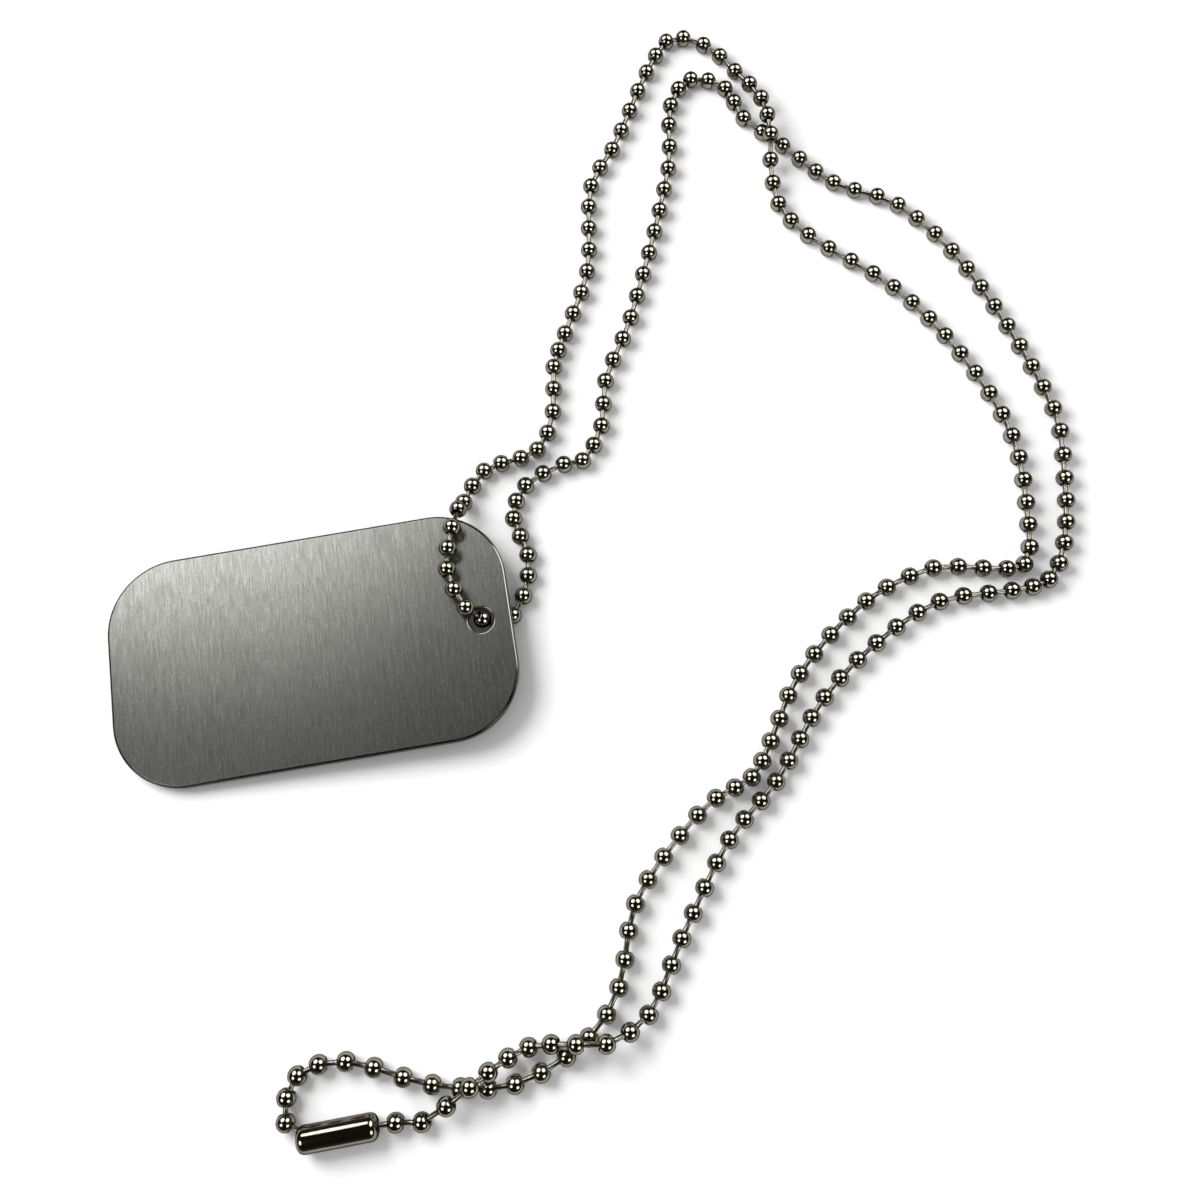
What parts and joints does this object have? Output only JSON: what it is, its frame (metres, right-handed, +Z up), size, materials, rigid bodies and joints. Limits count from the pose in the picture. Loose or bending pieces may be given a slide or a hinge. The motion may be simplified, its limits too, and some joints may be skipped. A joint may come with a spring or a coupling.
{
  "type": "tag necklace",
  "caption": "Blank brushed metal tag with rounded corners on a closed ball chain with a slotted tube connector, laid flat.",
  "frame": {"origin": "on the surface that the necklace lies on, below the middle of the laid necklace", "axes": "+X towards the tag's hole, within ten degrees of the tag's long side; +Y across it, away from the connector; +Z up"},
  "size_m": [0.1252, 0.1515, 0.0061],
  "materials": {
    "tag_steel": "fine cross-brushed steel",
    "ball_steel": "bright tumbled steel",
    "pin_steel": "drawn wire",
    "connector_steel": "bright pressed sheet"
  },
  "bodies": {
    "root": {"tag": "tag_steel", "ball_chain": "ball_steel", "link_pins": "pin_steel", "connector": "connector_steel"}
  },
  "joints": []
}
